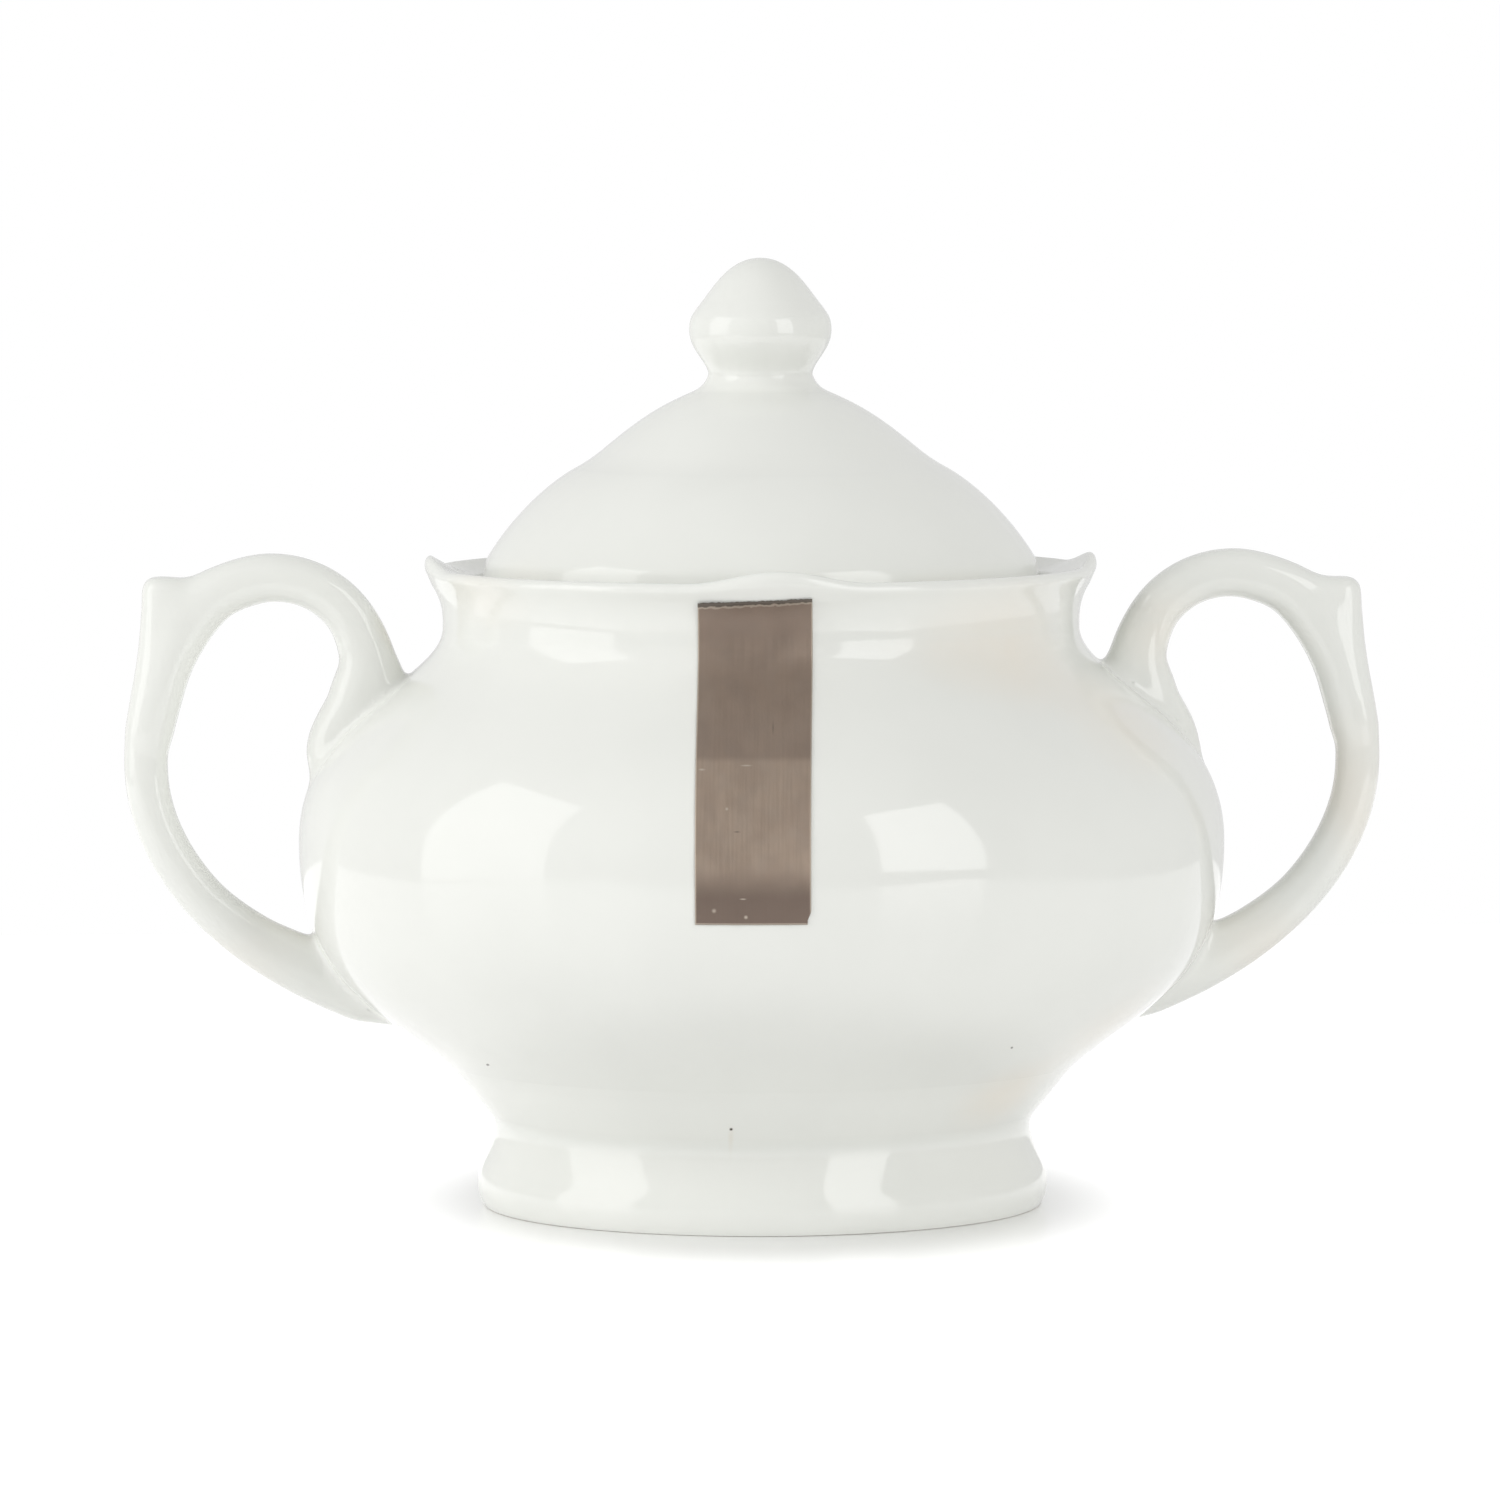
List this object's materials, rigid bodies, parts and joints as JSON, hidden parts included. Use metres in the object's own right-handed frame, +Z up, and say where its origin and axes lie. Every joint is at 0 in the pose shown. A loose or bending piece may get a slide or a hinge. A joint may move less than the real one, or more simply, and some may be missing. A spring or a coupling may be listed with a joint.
{
  "type": "lidded sugar bowl",
  "caption": "Round-bellied glazed porcelain sugar bowl on a pedestal foot, with looped handles with thumb spurs, a low-peaked rim and a lift-off domed lid with a ball knob.",
  "frame": {"origin": "centre of the foot, on the surface that the bowl stands on", "axes": "+Z up through the knob, X along the two handles, the label faces -Y"},
  "size_m": [0.1656, 0.1227, 0.1248],
  "materials": {
    "glaze": "white porcelain under a clear, shiny glaze",
    "label_foil": "bare brushed foil sticker, taupe bronze"
  },
  "bodies": {
    "bowl": {"pedestal_foot": "glaze", "bowl_body": "glaze", "left_handle": "glaze", "right_handle": "glaze", "front_label": "label_foil"},
    "lid": {"lid_shell": "glaze", "lid_knob": "glaze"}
  },
  "joints": [
    {"name": "lid_lift", "type": "slide", "parent": "bowl", "child": "lid", "axis": [0, 0, 1], "range_m": [0, 0.06]}
  ]
}
